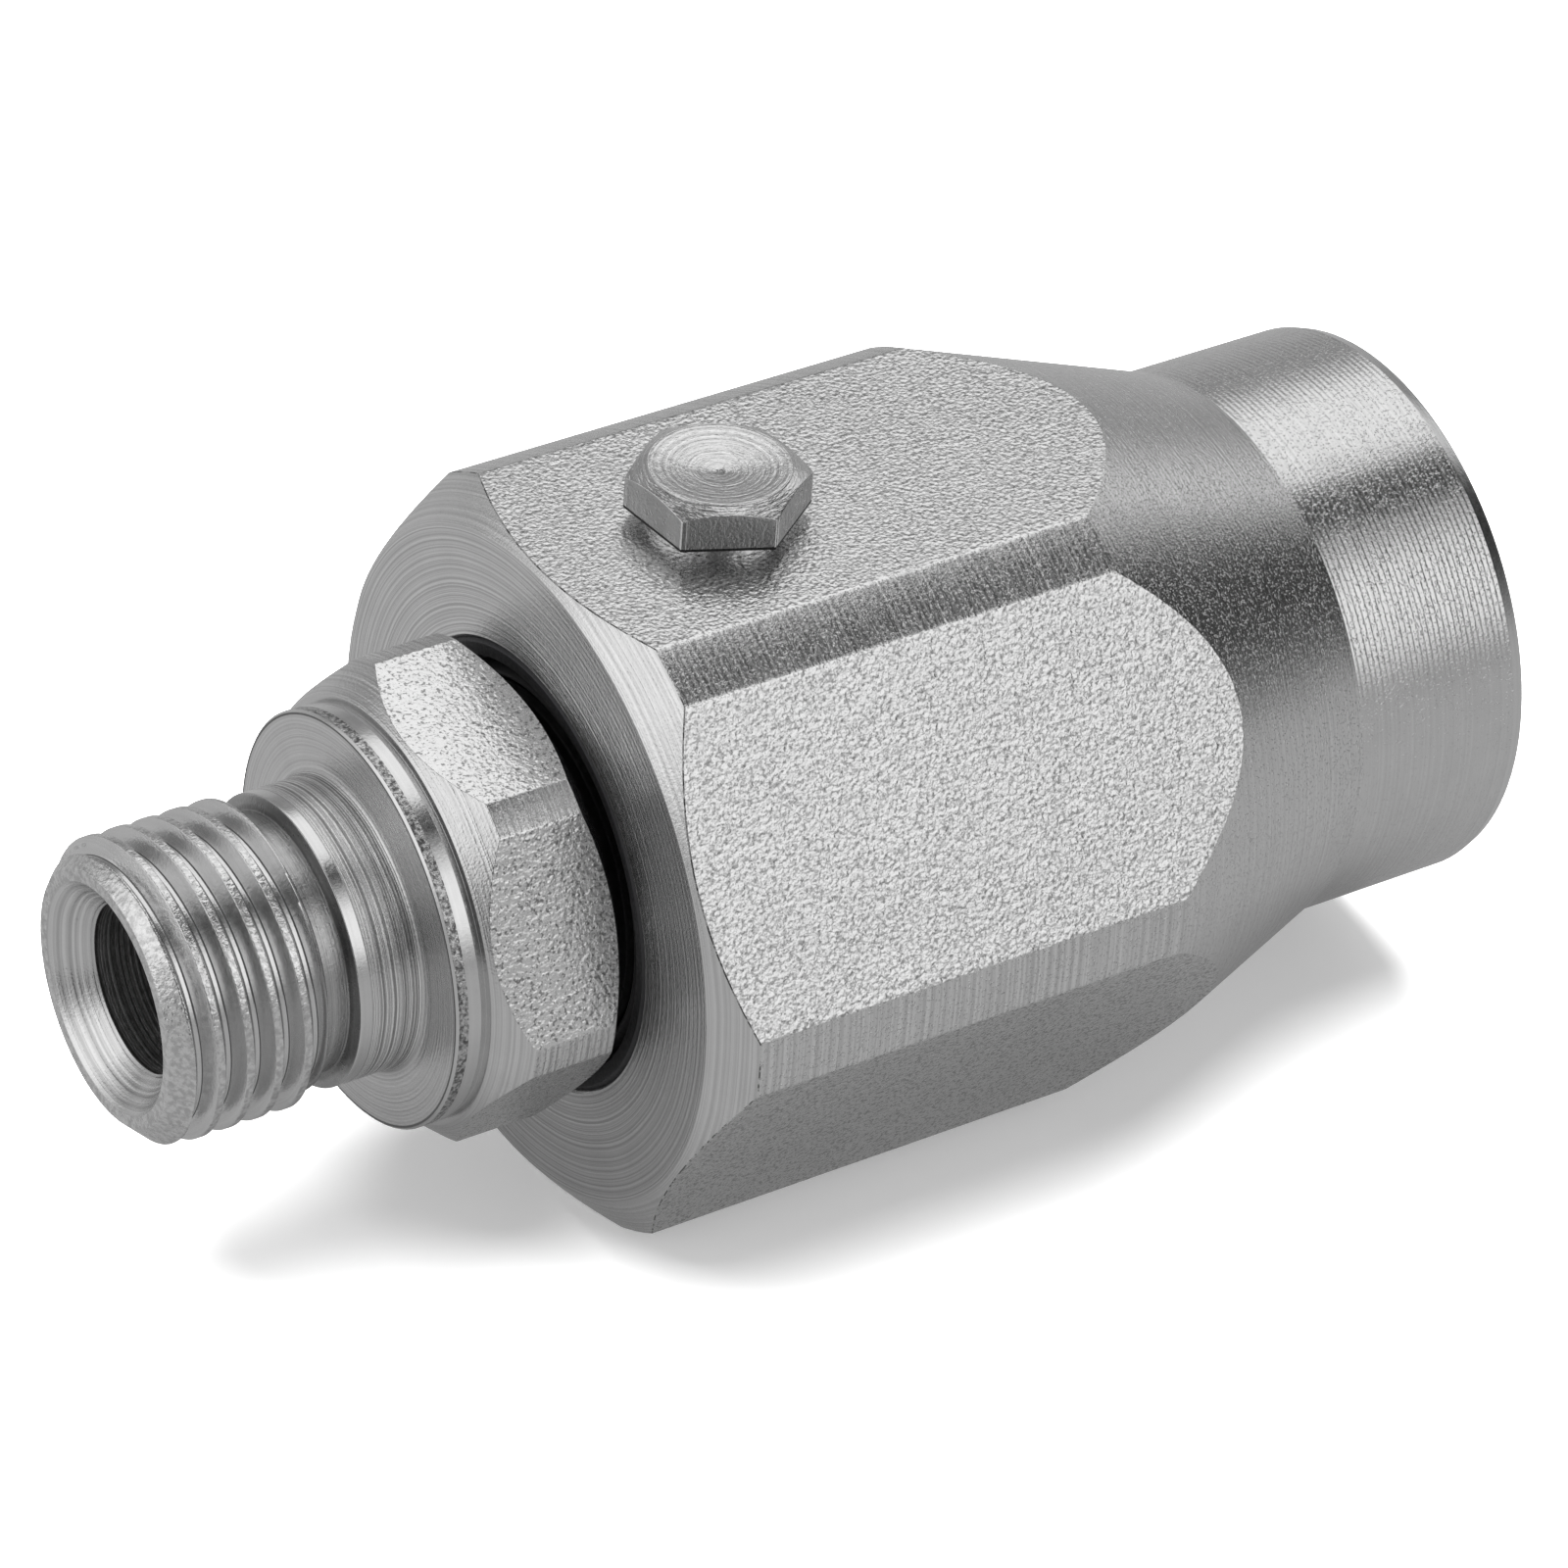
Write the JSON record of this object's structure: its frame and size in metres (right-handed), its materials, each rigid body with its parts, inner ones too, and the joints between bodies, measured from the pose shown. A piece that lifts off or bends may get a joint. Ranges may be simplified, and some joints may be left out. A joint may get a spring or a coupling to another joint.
{
  "type": "hydraulic swivel joint",
  "caption": "In-line ball bearing swivel joint for a hydraulic hose, with a threaded stem that turns in a hexagonal housing with a female port.",
  "frame": {"origin": "on the swivel axis, where the female port's thread wall begins, 1.2 mm inside the rear face at the foot of the countersink", "axes": "+X along the swivel axis, out of the female port; +Z out of the top flat that carries the ball filler plug; +Y completes the frame"},
  "size_m": [0.0626, 0.0332, 0.0325],
  "materials": {
    "zinc_plated_steel": "zinc plated, turned and blasted",
    "bearing_steel": "polished",
    "nitrile_rubber": "matt",
    "white_ptfe": "waxy",
    "bronze_filled_ptfe": "matt"
  },
  "bodies": {
    "fixed_housing": {"housing": "zinc_plated_steel", "ball_filler_plug": "zinc_plated_steel", "wiper_seal": "nitrile_rubber"},
    "turning_stem": {"swivel_stem": "zinc_plated_steel", "pressure_o_ring": "nitrile_rubber", "front_backup_ring": "white_ptfe", "rear_backup_ring": "white_ptfe", "guide_ring": "bronze_filled_ptfe"},
    "ball_row": {"bearing_ball_01": "bearing_steel", "bearing_ball_02": "bearing_steel", "bearing_ball_03": "bearing_steel", "bearing_ball_04": "bearing_steel", "bearing_ball_05": "bearing_steel", "bearing_ball_06": "bearing_steel", "bearing_ball_07": "bearing_steel", "bearing_ball_08": "bearing_steel", "bearing_ball_09": "bearing_steel", "bearing_ball_10": "bearing_steel", "bearing_ball_11": "bearing_steel", "bearing_ball_12": "bearing_steel"}
  },
  "joints": [
    {"name": "stem_swivel", "type": "hinge", "parent": "fixed_housing", "child": "turning_stem", "pos_m": [-0.033, 0, 0], "axis": [1, 0, 0], "continuous": true},
    {"name": "ball_row_roll", "type": "hinge", "parent": "fixed_housing", "child": "ball_row", "pos_m": [-0.033, 0, 0], "axis": [1, 0, 0], "continuous": true}
  ],
  "couplings": [
    {"joint": "ball_row_roll", "follows": "stem_swivel", "ratio": 0.3753}
  ]
}
